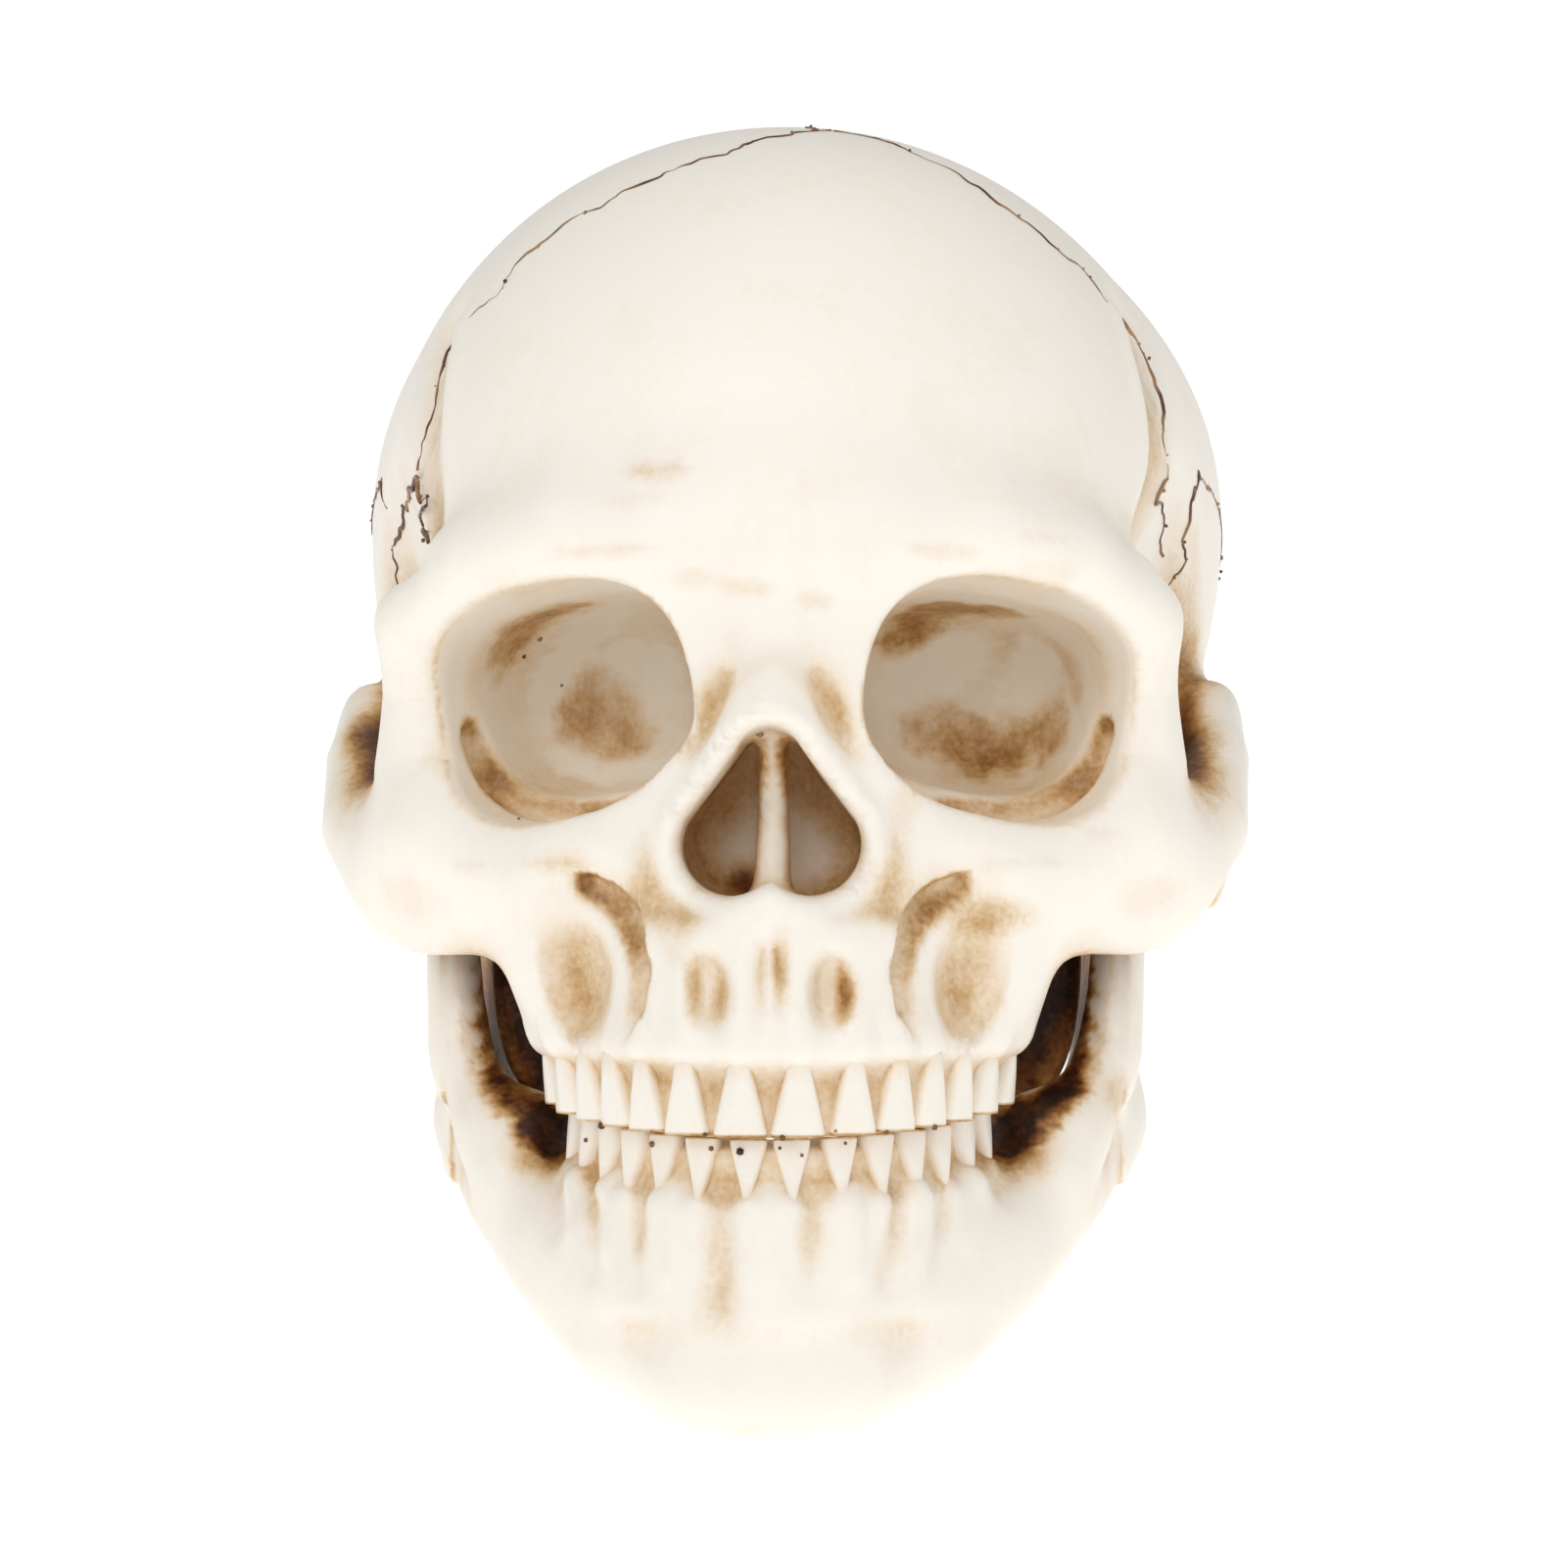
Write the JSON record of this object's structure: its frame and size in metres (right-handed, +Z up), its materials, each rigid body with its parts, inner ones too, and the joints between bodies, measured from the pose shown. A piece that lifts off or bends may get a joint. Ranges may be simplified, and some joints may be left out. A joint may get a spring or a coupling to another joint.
{
  "type": "resin human skull",
  "caption": "Life-size cast resin human skull for seasonal display, hollow cranium with open eye sockets and nose, and a jaw that opens on a hinge through its condyles.",
  "frame": {"origin": "centre of the bounding box at the height of the surface that the skull stands on", "axes": "+Z up, the face looks along -Y and is tipped back as the skull stands, +X towards the viewer's right"},
  "size_m": [0.1438, 0.2316, 0.1599],
  "materials": {
    "cranium_resin": "cast resin, ivory paint with a brown wash in the hollows, satin",
    "mandible_resin": "cast resin, ivory paint with a brown wash in the hollows, satin",
    "pin_steel": "drawn steel wire",
    "bush_plastic": "moulded, natural",
    "plug_filler": "filler painted over with the bone"
  },
  "bodies": {
    "skull": {"cranium": "cranium_resin", "jaw_pin_left": "pin_steel", "jaw_pin_right": "pin_steel", "pin_plug_left": "plug_filler", "pin_plug_right": "plug_filler"},
    "jaw": {"mandible": "mandible_resin", "condyle_bush_left": "bush_plastic", "condyle_bush_right": "bush_plastic"}
  },
  "joints": [
    {"name": "jaw_hinge", "type": "hinge", "parent": "skull", "child": "jaw", "pos_m": [0, -0.01248, 0.04831], "axis": [1, 0, 0], "range_deg": [0, 16]}
  ]
}
